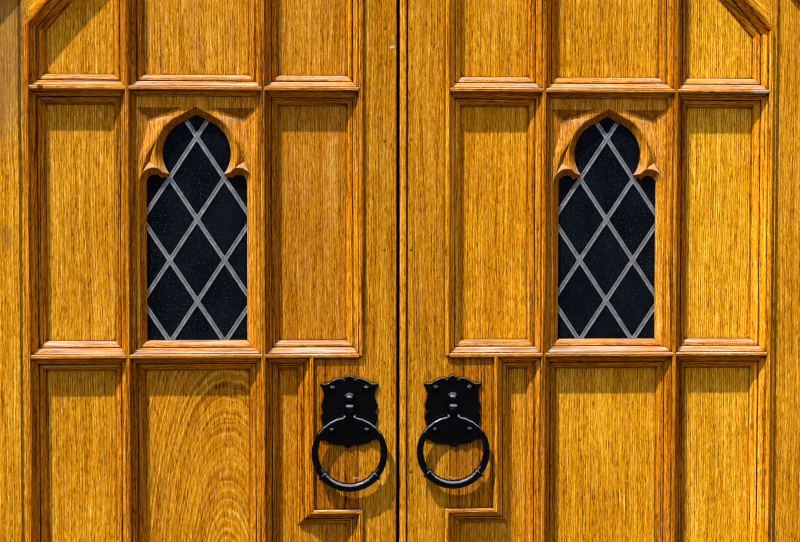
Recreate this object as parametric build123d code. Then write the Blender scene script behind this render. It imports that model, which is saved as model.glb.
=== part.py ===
from build123d import *
import math
import os

# A pair of arched oak doors in their frame. X runs along the doorway, Y into the building,
# Z up. The origin is on the floor, midway between the leaves and midway through their thickness.
# Every piece is worked out for the leaf at +X and mirrored for the leaf at -X.

# Places of the moulding nose lines across one leaf, from the middle of the doorway
first_nose = 80.0
inner_column = 180.0
window_column = 247.0
outer_column = 180.0
hinge_margin = 88.0

# Heights of the nose lines
bottom_nose = 200.0
middle_nose = 1154.5
upper_row = 491.5
block_drop = 291.0
block_width = 91.0

# The arch: one circle for each leaf, struck from beyond the middle of the doorway. It starts at
# the hinge side, this far over the upper transom.
arch_offset = 743.0
arch_start = 114.5
arch_nose_radius = 1854.5
arch_margin = 87.5

# How far a bar or strip is made past its mitre or scribed end before it is cut
spare_length = 60.0
spare_angle = 2.6

# Thickness of the leaf, and where its panels lie in it
leaf_thickness = 50.0
panel_setback = 26.0
panel_thickness = 14.0
groove_depth = 10.0
groove_play = 0.5

# The moulding, measured from its nose line and from the panel's face
moulding_width = 28.0
nose_half = 4.0
nose_height = 34.0
nose_chamfer = 2.0
nose_step = 3.8
step_width = 1.8
hollow_width = 3.8
hollow_height = 7.4
quirk_place = 14.3
quirk_width = 1.5
quirk_height = 11.6
quirk_depth = 1.4
mullion_lip = 0.5
edge_fillet = 1.5
edge_inset = 1.0
ovolo_bulge = 2.6
ogee_bulge = 1.5
hollow_bulge = 1.1

# Leaves in their frame
leaf_bottom = 25.0
frame_gap = 3.0
left_meeting_edge = 14.5
right_meeting_edge = -8.5
meeting_gap = 0.5
arris_round = 3.0
bead_width = 14.0
bead_depth = 12.0
bead_quirk = 1.0

# Frame and threshold
jamb_width = 65.0
jamb_front = 50.0
stop_lap = 12.0
stop_gap = 1.5
jamb_hollow = 12.0
jamb_hollow_bow = 2.4
threshold_height = 20.0
threshold_reach = 60.0
threshold_slope = 6.0
fixing_radius = 5.0
fixing_low = 400.0
fixing_drop = 146.0

# Window tracery, from the middle of its column and the nose lines around it
tracery_face = 16.5
opening_half = 92.5
foil_radius = 62.9
foil_below_nose = 117.3
foil_point = 71.7
foil_chamfer = 11.7
chamfer_depth = 11.0
side_foil_radius = 15.5
side_foil_drop = 54.7
cusp_half = 50.5
cusp_drop = 38.5
spandrel_depth = 9.0
spandrel_drop = 34.0
spandrel_side = 15.0
spandrel_gap = 27.0
spandrel_foot = 55.0
spandrel_deepest_in = 23.0
spandrel_deepest_down = 20.0
eye_depth = 7.0
eye_deepest = 11.0
carved_bow = 5.0
carving_land = 1.5

# Leaded light
light_thickness = 7.0
glass_thickness = 4.0
came_width = 9.0
came_seat = 3.0
lead_pitch_across = 101.0
lead_pitch_up = 152.5
lead_first_crossing = 87.0
sash_bead_width = 13.5
sash_bead_bow = 2.0

# Ring handles
plate_gap = 8.0
left_handle_place = 102.0
right_handle_place = 90.0
plate_thickness = 5.0
plate_half_width = 53.0
plate_half_height = 67.5
stud_across = 31.5
stud_high = 41.5
stud_low = 37.0
stud_radius = 7.5
stud_rise = 5.0
stud_slope = 34.0
boss_height = 24.0
boss_radius = 9.0
staple_width = 14.5
staple_top = 13.0
staple_wall = 5.0
staple_shoulder = 9.0
staple_lean = 2.0
staple_toe_bow = 4.0
staple_head_bow = 6.5
ring_standoff = 15.0
ring_drop = 11.0
journal_radius = 4.2
journal_clearance = 0.3
left_ring_radius = 64.0
right_ring_radius = 62.0
ring_top_radius = 4.6
ring_side_radius = 7.2
ring_foot_radius = 8.3
ring_collar_angle = 49.0
ring_step = 12.0
collar_radius = 10.2
collar_width = 5.0
cheek_radius = 8.0
cheek_width = 3.6

# Band hinges on the inner face
lowest_hinge = 115.0
band_length = 470.0
band_width = 45.0
band_tip_width = 26.0
band_thickness = 6.0
pintle_radius = 7.0
pintle_clearance = 0.08
eye_radius = 12.0
axis_inset = 1.0
eye_lift = 0.5
pintle_plate_width = 34.0
pintle_plate_height = 110.0
hinge_rest = 0.3
band_eye_gap = 8.0
lug_height = 16.0
pin_stand = 6.0
bolt_head_radius = 8.0
bolt_head_rise = 4.0
bolt_head_slope = 35.0
first_bolt_share = 0.6
band_bolts = 4

# Bolts on the inner face of the left leaf
bolt_radius = 6.0
bolt_length = 300.0
bolt_place = 49.0
bolt_clearance = 0.1
bolt_start = 5.0
bolt_plate_thickness = 3.0
bolt_plate_edge = 6.0
bolt_plate_end = 25.0
knob_radius = 5.0
knob_length = 26.0
knob_sink = 3.0
near_knob = 0.38
guide_height = 14.0
guide_wall = 4.0
guide_place = 40.0
keep_height = 16.0
keep_wall = 6.0
keep_lift = 6.0
keep_clearance = 0.6
keep_floor = 3.0

# Values that follow from the driving sizes
second_nose = first_nose + inner_column
third_nose = second_nose + window_column
fourth_nose = third_nose + outer_column
hinge_edge = fourth_nose + hinge_margin
upper_nose = middle_nose + upper_row
arch_start_height = upper_nose + arch_start
arch_centre_height = arch_start_height - math.sqrt(arch_nose_radius ** 2 - (arch_offset + fourth_nose) ** 2)
block_nose_height = middle_nose - block_drop
block_nose = first_nose + block_width
leaf_face = -leaf_thickness / 2
leaf_back = leaf_thickness / 2
panel_face = leaf_face + panel_setback
panel_back = panel_face + panel_thickness
leaf_radius = arch_nose_radius + arch_margin
edge_radius = arch_nose_radius - nose_half
arch_centre = Pos(-arch_offset, 0, arch_centre_height)
window_middle = second_nose + window_column / 2
mullion_groove = moulding_width - groove_depth - mullion_lip
panel_in_mullion = mullion_groove + groove_play
panel_in_stile = groove_depth - nose_half - groove_play
meeting_line = (left_meeting_edge - right_meeting_edge) / 2
hinge_axis_x = hinge_edge + frame_gap - axis_inset
hinge_axis_y = leaf_back + eye_radius + eye_lift
handle_height = middle_nose - moulding_width - plate_gap - plate_half_height
plate_face = leaf_face - plate_thickness
ring_y = plate_face - ring_standoff
ring_axis_height = handle_height - ring_drop
bolt_y = leaf_back + bolt_plate_thickness + guide_wall + bolt_radius


# Drawing helpers

def side(start, end, rise):
    if rise == 0:
        return Line(start, end)
    across, up = end[0] - start[0], end[1] - start[1]
    length = math.hypot(across, up)
    middle = ((start[0] + end[0]) / 2 - up / length * rise, (start[1] + end[1]) / 2 + across / length * rise)
    return ThreePointArc(start, middle, end)


def outline(*corners):
    # A closed face through the corners. A third number bows the side that ends at its corner.
    edges = []
    previous = corners[-1]
    for corner in corners:
        rise = corner[2] if len(corner) > 2 else 0
        edges.append(side(previous[:2], corner[:2], rise))
        previous = corner
    return make_face(edges)


def mirrored(corners):
    # The same corners read backwards on the other side of the middle line, bows kept
    points = []
    for place, corner in enumerate(corners):
        following = corners[place + 1] if place + 1 < len(corners) else corner
        rise = following[2] if len(following) > 2 and place + 1 < len(corners) else 0
        points.append((-corner[0], corner[1], rise))
    return points[::-1]


def rise_along(face, length):
    return extrude(face, amount=length, dir=(0, 0, 1))


def upright(face, x, low, high):
    return Pos(x, 0, low) * rise_along(face, high - low)


def across_up(face, z, low, high):
    # A level bar whose section faces up
    return Pos(high, 0, z) * Rot(0, -90, 0) * rise_along(face, high - low)


def across_down(face, z, low, high):
    return Pos(low, 0, z) * Rot(0, 90, 0) * rise_along(face, high - low)


def bent(face, start, sweep):
    # A bar bent round the arch centre. The section's x is its radius.
    turned = revolve(face, axis=Axis((0, 0, 0), (0, -1, 0)), revolution_arc=sweep)
    return arch_centre * Rot(0, -start, 0) * turned


def box_between(low, high):
    size = [b - a for a, b in zip(low, high)]
    return Pos(*low) * Box(*size, align=(Align.MIN, Align.MIN, Align.MIN))


def under_arch(radius):
    return arch_centre * Rot(90, 0, 0) * Cylinder(radius, 4 * leaf_thickness)


def arch_height(radius, x):
    return arch_centre_height + math.sqrt(radius ** 2 - (arch_offset + x) ** 2)


def arch_angle(radius, x):
    return math.degrees(math.acos((arch_offset + x) / radius))


def under_both_arches(radius):
    curve = under_arch(radius)
    return curve & mirror(curve, about=Plane.YZ)


def mitre(bar, corner, inner, kept):
    # Cuts the bar along the line from corner to inner, keeping the side that holds the point kept
    along = (inner[0] - corner[0], inner[1] - corner[1])
    normal = (-along[1], along[0])
    if normal[0] * (kept[0] - corner[0]) + normal[1] * (kept[1] - corner[1]) < 0:
        normal = (along[1], -along[0])
    plane = Plane(origin=(corner[0], 0, corner[1]), x_dir=(0, 1, 0), z_dir=(normal[0], 0, normal[1]))
    return split(bar, bisect_by=plane, keep=Keep.TOP)


def cut(shape, *tools):
    for tool in tools:
        shape = shape - tool
    return shape


def largest(shape):
    # Drops the crumbs that a scribed end leaves in the quirks
    return max(shape.solids(), key=lambda solid: solid.volume)


# Sections of the mouldings, with the nose line at x = 0

def moulding_curve():
    # From the panel's edge up to the flat top of the nose
    step_height = nose_height - nose_chamfer - nose_step
    ogee_end = (nose_half + step_width + hollow_width, step_height - hollow_height)
    return [
        (moulding_width, 0),
        (moulding_width, edge_fillet),
        (moulding_width - edge_inset, edge_fillet),
        (quirk_place + quirk_width, quirk_height + quirk_depth, -ovolo_bulge),
        (quirk_place + quirk_width, quirk_height),
        (quirk_place, quirk_height),
        (ogee_end[0], ogee_end[1], -ogee_bulge),
        (nose_half + step_width, step_height, hollow_bulge),
        (nose_half, step_height),
        (nose_half, nose_height - nose_chamfer),
        (nose_half - nose_chamfer, nose_height),
    ]


def at_depth(corners):
    # Heights over the panel become depths in the leaf, which turns every bow round
    return [(c[0], panel_face - c[1], -c[2] if len(c) > 2 else 0) for c in corners]


def strip_section():
    # The planted moulding: it lies on the panel and laps over the stile's edge
    curve = moulding_curve()
    lap = [
        (nose_chamfer - nose_half, nose_height),
        (-nose_half, nose_height - nose_chamfer),
        (-nose_half, panel_setback),
        (nose_half, panel_setback),
        (nose_half, 0),
    ]
    return outline(*at_depth(curve + lap))


def bar_section():
    # The mullion and transom bar: moulded on both sides, grooved for the panels, flat behind
    back = panel_face - leaf_back
    groove_back = -panel_thickness
    right = [
        (moulding_width, back),
        (moulding_width, groove_back),
        (mullion_groove, groove_back),
        (mullion_groove, 0),
    ] + moulding_curve()
    return outline(*at_depth(right + mirrored(right)))


def rail_section(low, high, groove_low, groove_high):
    # A plain rail from low to high in x, with a panel groove at either edge where asked
    face = outline((low, leaf_face), (high, leaf_face), (high, leaf_back), (low, leaf_back))
    middle = (panel_face + panel_back) / 2
    if groove_low:
        face = face - Pos(low, middle) * Rectangle(2 * groove_depth, panel_thickness)
    if groove_high:
        face = face - Pos(high, middle) * Rectangle(2 * groove_depth, panel_thickness)
    return face


# Mouldings planted round the panels of one leaf

def corner_of_arch(nose, inwards):
    # Where an upright strip meets the arch strip: on the nose lines, and at the panel's edge
    outer = (nose, arch_height(arch_nose_radius, nose))
    edge = nose + inwards * moulding_width
    return outer, (edge, arch_height(arch_nose_radius - moulding_width, edge))


def arch_moulding():
    section = Pos(arch_nose_radius, 0, 0) * mirror(strip_section(), about=Plane.YZ)
    start = arch_angle(arch_nose_radius, fourth_nose) - spare_angle
    sweep = arch_angle(arch_nose_radius, first_nose) + spare_angle - start
    strip = bent(section, start, sweep)
    middle = ((first_nose + fourth_nose) / 2, arch_height(arch_nose_radius, window_middle))
    strip = mitre(strip, *corner_of_arch(fourth_nose, -1), middle)
    return mitre(strip, *corner_of_arch(first_nose, 1), middle)


def hinge_side_moulding():
    section = mirror(strip_section(), about=Plane.YZ)
    strip = upright(section, fourth_nose, bottom_nose - spare_length, arch_height(leaf_radius, fourth_nose))
    middle = (fourth_nose, middle_nose)
    foot = (fourth_nose, bottom_nose)
    strip = mitre(strip, foot, (foot[0] - moulding_width, foot[1] + moulding_width), middle)
    return mitre(strip, *corner_of_arch(fourth_nose, -1), middle)


def bottom_moulding():
    strip = across_up(strip_section(), bottom_nose, first_nose - spare_length, fourth_nose + spare_length)
    middle = (window_middle, bottom_nose)
    foot = (fourth_nose, bottom_nose)
    strip = mitre(strip, foot, (foot[0] - moulding_width, foot[1] + moulding_width), middle)
    foot = (first_nose, bottom_nose)
    return mitre(strip, foot, (foot[0] + moulding_width, foot[1] + moulding_width), middle)


def meeting_side_mouldings():
    # Above the middle transom, and below the lock block
    section = strip_section()
    high = upright(section, first_nose, middle_nose, arch_height(leaf_radius, first_nose))
    high = mitre(high, *corner_of_arch(first_nose, 1), (first_nose, middle_nose + upper_row))
    low = upright(section, first_nose, bottom_nose - spare_length, block_nose_height + spare_length)
    middle = (first_nose, (bottom_nose + block_nose_height) / 2)
    foot = (first_nose, bottom_nose)
    low = mitre(low, foot, (foot[0] + moulding_width, foot[1] + moulding_width), middle)
    head = (first_nose, block_nose_height)
    low = mitre(low, head, (head[0] + moulding_width, head[1] - moulding_width), middle)
    return [high, low]


def block_mouldings():
    # Round the lock block: down its side and along its underside, mitred at the corner
    section = strip_section()
    corner = (block_nose, block_nose_height)
    inner = (corner[0] + moulding_width, corner[1] - moulding_width)
    side_strip = upright(section, block_nose, block_nose_height - spare_length, middle_nose)
    side_strip = mitre(side_strip, corner, inner, (block_nose, middle_nose))
    under = across_down(section, block_nose_height, first_nose - spare_length, block_nose + spare_length)
    middle = ((first_nose + block_nose) / 2, block_nose_height)
    under = mitre(under, corner, inner, middle)
    head = (first_nose, block_nose_height)
    under = mitre(under, head, (head[0] + moulding_width, head[1] - moulding_width), middle)
    return [side_strip, under]


# Framing of one leaf

def hinge_stile():
    section = rail_section(fourth_nose - nose_half, hinge_edge, True, False)
    return upright(section, 0, leaf_bottom, arch_height(leaf_radius, first_nose)) & under_arch(leaf_radius)


def meeting_stile(edge, with_bead):
    # Its edge is bevelled, so that the leaves nearly touch behind and still swing past each other
    line = meeting_line if edge > 0 else -meeting_line
    back_edge = line + meeting_gap / 2
    section = rail_section(back_edge, first_nose + nose_half, False, True)
    section = section - outline(
        (back_edge, leaf_face),
        (edge, leaf_face),
        (edge, leaf_face + bead_depth),
        (back_edge, leaf_back),
    )
    if with_bead:
        rebate = (bead_width + bead_quirk, 2 * bead_depth)
        section = section - Pos(edge, leaf_face) * Rectangle(2 * rebate[0], rebate[1])
    else:
        arris = section.vertices().sort_by(Axis.Y)[:2].sort_by(Axis.X)[0]
        section = fillet(arris, arris_round)
    top = arch_height(leaf_radius, edge) + spare_length
    return upright(section, 0, leaf_bottom, top) & under_both_arches(leaf_radius)


def meeting_bead(edge):
    # The bead on the right leaf that stands beside the gap
    foot = leaf_face + bead_depth
    shoulder = leaf_face + bead_width / 3
    section = outline(
        (edge, foot),
        (edge, shoulder),
        (edge + bead_width, shoulder, -bead_width / 3),
        (edge + bead_width, foot),
    )
    top = arch_height(leaf_radius, edge) + spare_length
    return upright(section, 0, leaf_bottom, top) & under_both_arches(leaf_radius)


def head_rail():
    section = rail_section(edge_radius, leaf_radius, True, False)
    start = arch_angle(leaf_radius, fourth_nose) - spare_angle
    rail = bent(section, start, arch_angle(edge_radius, first_nose) + spare_angle - start)
    reach = leaf_thickness
    span = box_between(
        (first_nose + nose_half, -reach, 0),
        (fourth_nose - nose_half, reach, arch_centre_height + 2 * leaf_radius),
    )
    return rail & span


def bottom_rail():
    low, high = first_nose + nose_half, fourth_nose - nose_half
    section = rail_section(-(bottom_nose + nose_half - leaf_bottom), 0, False, True)
    return across_up(section, bottom_nose + nose_half, low, high)


def lock_block():
    left, right = first_nose + nose_half, block_nose + nose_half
    low, high = block_nose_height - nose_half, middle_nose - nose_half
    block = box_between((left, leaf_face, low), (right, leaf_back, high))
    under = box_between((left, panel_face, low), (right, panel_back, low + groove_depth))
    beside = box_between((right - groove_depth, panel_face, low), (right, panel_back, high))
    return cut(block, under, beside)


def window_rebate():
    # The inner lips of the bars are cut away round the window, so that the light goes in from behind
    return box_between(
        (second_nose + mullion_groove, panel_face, middle_nose + mullion_groove),
        (third_nose - mullion_groove, leaf_back + 1, upper_nose - mullion_groove),
    )


def mullion(nose, strips):
    top = arch_height(edge_radius, nose) + spare_length
    bar = upright(bar_section(), nose, bottom_nose + nose_half, top)
    return largest(cut(bar & under_arch(edge_radius), *strips, window_rebate()))


def transom(height, strips, mullions, block):
    # One length for each column, scribed to the uprights so that the mouldings meet in mitres
    lengths = []
    columns = [
        (first_nose + nose_half, second_nose),
        (second_nose, third_nose),
        (third_nose, fourth_nose - nose_half),
    ]
    for low, high in columns:
        bar = across_up(bar_section(), height, low, high)
        lengths.append(largest(cut(bar, *strips, *mullions, block, window_rebate())))
    return lengths


# Panels

def panel(left, right, low, high):
    return box_between((left, panel_face, low), (right, panel_back, high))


def column_sides():
    return [
        (first_nose - panel_in_stile, second_nose - panel_in_mullion),
        (second_nose + panel_in_mullion, third_nose - panel_in_mullion),
        (third_nose + panel_in_mullion, fourth_nose + panel_in_stile),
    ]


def upper_panels():
    sky = arch_height(leaf_radius, 0)
    curve = under_arch(arch_nose_radius + panel_in_stile)
    return [panel(a, b, upper_nose + panel_in_mullion, sky) & curve for a, b in column_sides()]


def middle_panels():
    low, high = middle_nose + panel_in_mullion, upper_nose - panel_in_mullion
    sides = column_sides()
    return [panel(*sides[0], low, high), panel(*sides[2], low, high)]


def lower_panels():
    # The inner panel steps round the lock block
    low, high = bottom_nose - panel_in_stile, middle_nose - panel_in_mullion
    sides = column_sides()
    inner = panel(*sides[0], low, high)
    step = box_between(
        (sides[0][0], panel_face, block_nose_height + panel_in_stile),
        (block_nose - panel_in_stile, panel_back, high),
    )
    return [inner - step, panel(*sides[1], low, high), panel(*sides[2], low, high)]


# Window

def facing_out(face, depth, thickness):
    # A face drawn in (x, height), set at a depth in the leaf and given a thickness inwards
    plane = Plane(origin=(window_middle, depth, 0), x_dir=(1, 0, 0), z_dir=(0, -1, 0))
    return extrude(plane * face, amount=thickness, dir=(0, 1, 0))


def tapered(draw, wide, face, depth):
    # A cutter from the drawing grown by wide at the face to the drawing itself at the depth
    front = Plane(origin=(window_middle, face, 0), x_dir=(1, 0, 0), z_dir=(0, -1, 0)) * draw(wide)
    back = Plane(origin=(window_middle, depth, 0), x_dir=(1, 0, 0), z_dir=(0, -1, 0)) * draw(0)
    return loft([front, back], ruled=True)


def foil_height():
    return upper_nose - foil_below_nose


def main_foil(grow):
    # A circle drawn up to a point by its two tangents
    radius = foil_radius + grow
    point = foil_point * radius / foil_radius
    lean = math.acos(radius / point)
    touch = (radius * math.sin(lean), foil_height() + radius * math.cos(lean))
    peak = (0, foil_height() + point)
    return make_face([
        Line(touch, peak),
        Line(peak, (-touch[0], touch[1])),
        ThreePointArc((-touch[0], touch[1]), (0, foil_height() - radius), touch),
    ])


def side_foil(hand):
    middle = hand * (opening_half - side_foil_radius)
    spring = foil_height() - side_foil_drop

    def draw(grow):
        radius = side_foil_radius + grow
        return make_face([
            Line((middle - radius, middle_nose), (middle - radius, spring)),
            ThreePointArc((middle - radius, spring), (middle, spring + radius), (middle + radius, spring)),
            Line((middle + radius, spring), (middle + radius, middle_nose)),
            Line((middle + radius, middle_nose), (middle - radius, middle_nose)),
        ])

    return draw


def between_cusps(grow):
    # The middle of the light, whose upper corners are the tips of the cusps
    spring = foil_height() - side_foil_drop
    middle = opening_half - side_foil_radius
    tip = (cusp_half, foil_height() - cusp_drop)
    turn = math.radians(33)
    heel = (middle - side_foil_radius * math.cos(turn), spring + side_foil_radius * math.sin(turn))
    run = math.hypot(heel[0] - tip[0], tip[1] - heel[1])
    shift = (grow * (tip[1] - heel[1]) / run, grow * (heel[0] - tip[0]) / run)
    half = [
        (middle, middle_nose),
        (middle, spring),
        (heel[0] + shift[0], heel[1] + shift[1]),
        (tip[0] + shift[0], tip[1] + shift[1]),
    ]
    return outline(*half, *mirrored(half))


def sunk(rim, depth, deepest):
    # A carved hollow: flat facets run from the rim on the board's face to one deepest point
    face = panel_face - tracery_face
    corners = [Vector(window_middle + x, face, z) for x, z in rim]
    bottom = Vector(window_middle + deepest[0], face + depth, deepest[1])
    facets = [Face(Wire.make_polygon(corners))]
    for place, corner in enumerate(corners):
        facets.append(Face(Wire.make_polygon([corner, corners[place - 1], bottom])))
    hollow = Solid(Shell(facets))
    return hollow


def on_circle(centre, radius, degrees):
    turn = math.radians(degrees)
    return (centre[0] + radius * math.cos(turn), centre[1] + radius * math.sin(turn))


def along_circle(centre, radius, start, end, steps):
    share = (end - start) / steps
    return [on_circle(centre, radius, start + place * share) for place in range(steps + 1)]


def handed(points, hand):
    return [(hand * x, z) for x, z in points]


def spandrel(hand):
    # The sunk corner over the shoulder of the foils
    centre = (0, foil_height())
    radius = foil_radius + foil_chamfer + 2 * carving_land
    side_x = window_column / 2 - spandrel_side
    top = upper_nose - spandrel_drop
    shoulder = along_circle(centre, radius, 62, 24, 6)
    foot = (side_x, shoulder[-1][1] - spandrel_foot)
    way = ((foot[0] + shoulder[-1][0]) / 2 + carved_bow, (foot[1] + shoulder[-1][1]) / 2)
    rim = [(side_x, top), (spandrel_gap, top)] + shoulder + [way, foot]
    deepest = (hand * (side_x - spandrel_deepest_in), top - spandrel_deepest_down)
    return sunk(handed(rim, hand), spandrel_depth, deepest)


def circles_meet(first, first_radius, second, second_radius):
    # The upper of the two points where two circles cross
    across, up = second[0] - first[0], second[1] - first[1]
    apart = math.hypot(across, up)
    share = (first_radius ** 2 - second_radius ** 2 + apart ** 2) / (2 * apart)
    off = math.sqrt(first_radius ** 2 - share ** 2)
    return (
        first[0] + (share * across - off * up) / apart,
        first[1] + (share * up + off * across) / apart,
    )


def eye(hand):
    # The small sunk three-sided hollow between the foils and the outer arch
    centre = (0, foil_height())
    radius = foil_radius + foil_chamfer + carving_land
    small_centre = (opening_half - side_foil_radius, foil_height() - side_foil_drop)
    small = side_foil_radius + foil_chamfer + carving_land
    heel = circles_meet(centre, radius, small_centre, small)
    heel_angle = math.degrees(math.asin((heel[1] - centre[1]) / radius))
    low_start = math.degrees(math.acos((heel[0] - small_centre[0]) / small))
    inner = along_circle(centre, radius, 20, heel_angle, 5)
    below = along_circle(small_centre, small, low_start, 38, 4)[1:]
    tip, corner = inner[0], below[-1]
    way = ((tip[0] + corner[0]) / 2 + carved_bow, (tip[1] + corner[1]) / 2 + carving_land)
    deepest = (small_centre[0] + eye_deepest, small_centre[1] + small + eye_deepest)
    return sunk(handed(inner + below + [way], hand), eye_depth, (hand * deepest[0], deepest[1]))


def tracery(bars):
    # A carved board in two halves, scribed over the inner member of the mouldings round it
    face = panel_face - tracery_face
    side_x = window_column / 2
    board = box_between(
        (window_middle - side_x, face, middle_nose),
        (window_middle + side_x, panel_face, upper_nose),
    )
    board = cut(board, *bars)
    floor = face + chamfer_depth
    for draw in (main_foil, side_foil(-1), side_foil(1), between_cusps):
        board = cut(board, tapered(draw, foil_chamfer, face, floor))
        board = cut(board, facing_out(draw(0), floor, tracery_face))
    board = cut(board, *[carve(hand) for carve in (spandrel, eye) for hand in (-1, 1)])
    halves = [
        split(board, bisect_by=Plane(origin=(window_middle, 0, 0), z_dir=(1, 0, 0)), keep=keep)
        for keep in (Keep.TOP, Keep.BOTTOM)
    ]
    return [largest(half) for half in halves]


def light_sides():
    play = groove_play
    return (
        second_nose + mullion_groove + play,
        third_nose - mullion_groove - play,
        middle_nose + mullion_groove + play,
        upper_nose - mullion_groove - play,
    )


def lead_lines():
    # The two sets of slanting leads, as long thin bars through the crossings
    lean = math.degrees(math.atan2(lead_pitch_up, lead_pitch_across))
    step = lead_pitch_across * math.sin(math.radians(lean))
    reach = 2 * upper_row
    crossing = upper_nose - lead_first_crossing
    lines = []
    for turn in (lean, -lean):
        for place in range(-4, 5):
            line = Rot(0, 0, turn) * Pos(0, place * step) * Rectangle(reach, came_width)
            lines.append(Pos(0, crossing) * line)
    return lines


def leaded_light():
    # The quarries are cut from one sheet by the leads, and the leads grip their edges
    left, right, low, high = light_sides()
    width, height = right - left, high - low
    sheet = Pos(0, (low + high) / 2) * Rectangle(width, height)
    inside = Pos(0, (low + high) / 2) * Rectangle(width - 2 * came_width, height - 2 * came_width)
    lines = lead_lines()
    lattice = sheet - inside
    for line in lines:
        lattice = lattice + (line & sheet)
    leads = facing_out(lattice, panel_face, light_thickness)
    panes = offset(sheet - lattice, amount=came_seat, kind=Kind.INTERSECTION)
    glass_depth = panel_face + (light_thickness - glass_thickness) / 2
    quarries = facing_out(panes, glass_depth, glass_thickness)
    return [leads - quarries], quarries.solids()


def sash_beads():
    # Four beads behind the light, rounded towards the room
    left, right, low, high = light_sides()
    front, back = panel_face + light_thickness, leaf_back
    width = sash_bead_width
    round_off = width / 2
    section = outline(
        (0, front),
        (width, front),
        (width, back - round_off),
        (width - round_off, back, -sash_bead_bow),
        (0, back),
    )
    uprights = [
        upright(section, left, low, high),
        upright(mirror(section, about=Plane.YZ), right, low, high),
    ]
    levels = [
        across_up(section, low, left + width, right - width),
        across_down(section, high, left + width, right - width),
    ]
    return uprights + levels


# Ring handle

def plate_outline():
    # Right half from the bottom bud to the top bud, then its mirror image
    w, h = plate_half_width, plate_half_height
    half = [
        (0, -h),
        (0.19 * w, -0.9 * h, -2.4),
        (0.42 * w, -0.91 * h, -1.6),
        (0.77 * w, -0.8 * h, -2.2),
        (1.0 * w, -0.78 * h, 1.2),
        (0.98 * w, -0.68 * h, -1.4),
        (0.9 * w, -0.46 * h, 1.2),
        (0.97 * w, -0.24 * h, 0.6),
        (0.9 * w, -0.01 * h, -2.0),
        (0.985 * w, 0.2 * h, -1.4),
        (0.88 * w, 0.46 * h, 1.6),
        (1.0 * w, 0.7 * h, 1.6),
        (0.98 * w, 0.79 * h, -1.4),
        (0.73 * w, 0.79 * h, 1.4),
        (0.35 * w, 0.93 * h, -1.4),
        (0.19 * w, 0.84 * h, -2.2),
        (0, h, -2.4),
    ]
    return outline(*half, *mirrored(half)[1:-1])


def handle_plate(place):
    plate = Plane(origin=(place, leaf_face, handle_height), x_dir=(1, 0, 0), z_dir=(0, -1, 0))
    sheet = extrude(plate * plate_outline(), amount=plate_thickness, dir=(0, -1, 0))
    boss = Pos(place, plate_face, handle_height + boss_height) * Sphere(boss_radius)
    dome = boss & box_between(
        (place - boss_radius, plate_face - boss_radius, handle_height),
        (place + boss_radius, plate_face, handle_height + 2 * boss_height),
    )
    return sheet + dome


def handle_studs(place):
    # Four faceted stud heads, one on each corner of the plate
    studs = []
    for x in (-stud_across, stud_across):
        for z in (stud_high, -stud_low):
            foot = Plane(
                origin=(place + x, plate_face, handle_height + z), x_dir=(1, 0, 0), z_dir=(0, -1, 0)
            )
            studs.append(extrude(foot * RegularPolygon(stud_radius, 8), amount=stud_rise, taper=stud_slope))
    return studs


def staple_section():
    # Side view of the staple, (depth in front of the plate, height over the ring's axis)
    hole = journal_radius + journal_clearance
    low = -(hole + staple_wall)
    high = staple_top + ring_drop
    reach = ring_standoff + hole + staple_wall
    solid_face = outline(
        (0, low),
        (ring_standoff, low),
        (reach, 0, staple_toe_bow),
        (reach - staple_lean, high - staple_shoulder),
        (0, high, staple_head_bow),
    )
    slot = Pos(ring_standoff, 0) * Circle(hole)
    return solid_face, slot


def staple(place):
    solid_face, slot = staple_section()
    view = Plane(
        origin=(place - staple_width / 2, plate_face, ring_axis_height), x_dir=(0, -1, 0), z_dir=(1, 0, 0)
    )
    body = extrude(view * solid_face, amount=staple_width, dir=(1, 0, 0))
    return body - extrude(view * slot, amount=staple_width, dir=(1, 0, 0))


def ring(place, radius):
    # One forging: a straight journal in the staple, two cheeks, the tapering hoop, two collars
    # and the thick foot between them. The hoop's centre is at the origin until it is placed.
    gap = math.degrees(math.asin((staple_width / 2 + cheek_width / 2) / radius))
    collar_turn = 180 - ring_collar_angle
    foot_end = 180 + ring_collar_angle
    journal = Pos(0, 0, radius) * Rot(0, 90, 0) * Cylinder(journal_radius, staple_width + cheek_width)
    pieces = [hoop_length(radius, collar_turn, foot_end, ring_foot_radius, ring_foot_radius)]
    for hand in (-1, 1):
        arm = hoop_length(radius, hand * gap, hand * collar_turn, ring_top_radius, ring_side_radius)
        cheek_x = hand * (staple_width / 2 + journal_clearance + cheek_width / 2)
        cheek = Pos(cheek_x, 0, radius) * Rot(0, 90, 0) * Cylinder(cheek_radius, cheek_width)
        collar = at_turn(radius, hand * collar_turn) * Cylinder(collar_radius, collar_width)
        pieces += [arm, cheek, collar]
    whole = journal
    for piece in pieces:
        whole = whole + piece
    return Pos(place, ring_y, ring_axis_height - radius) * whole


def at_turn(radius, degrees):
    # A frame on the hoop's centre line, degrees from the top, with its own Z along the hoop
    turn = math.radians(degrees)
    place = (radius * math.sin(turn), 0, radius * math.cos(turn))
    along = (math.cos(turn), 0, -math.sin(turn))
    return Location(Plane(origin=place, x_dir=(0, 1, 0), z_dir=along))


def hoop_length(radius, start, end, start_radius, end_radius):
    # A length of the hoop in short hammered flats, its thickness changing evenly on the way
    flats = round(abs(end - start) / ring_step)
    sections = []
    for place in range(flats + 1):
        share = place / flats
        turn = at_turn(radius, start + share * (end - start))
        sections.append(Plane(turn) * Circle(start_radius + share * (end_radius - start_radius)))
    return loft(sections, ruled=True)


# Band hinges

def hinge_heights():
    # On the bottom rail and along the two transoms
    return [lowest_hinge, middle_nose, upper_nose]


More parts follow.
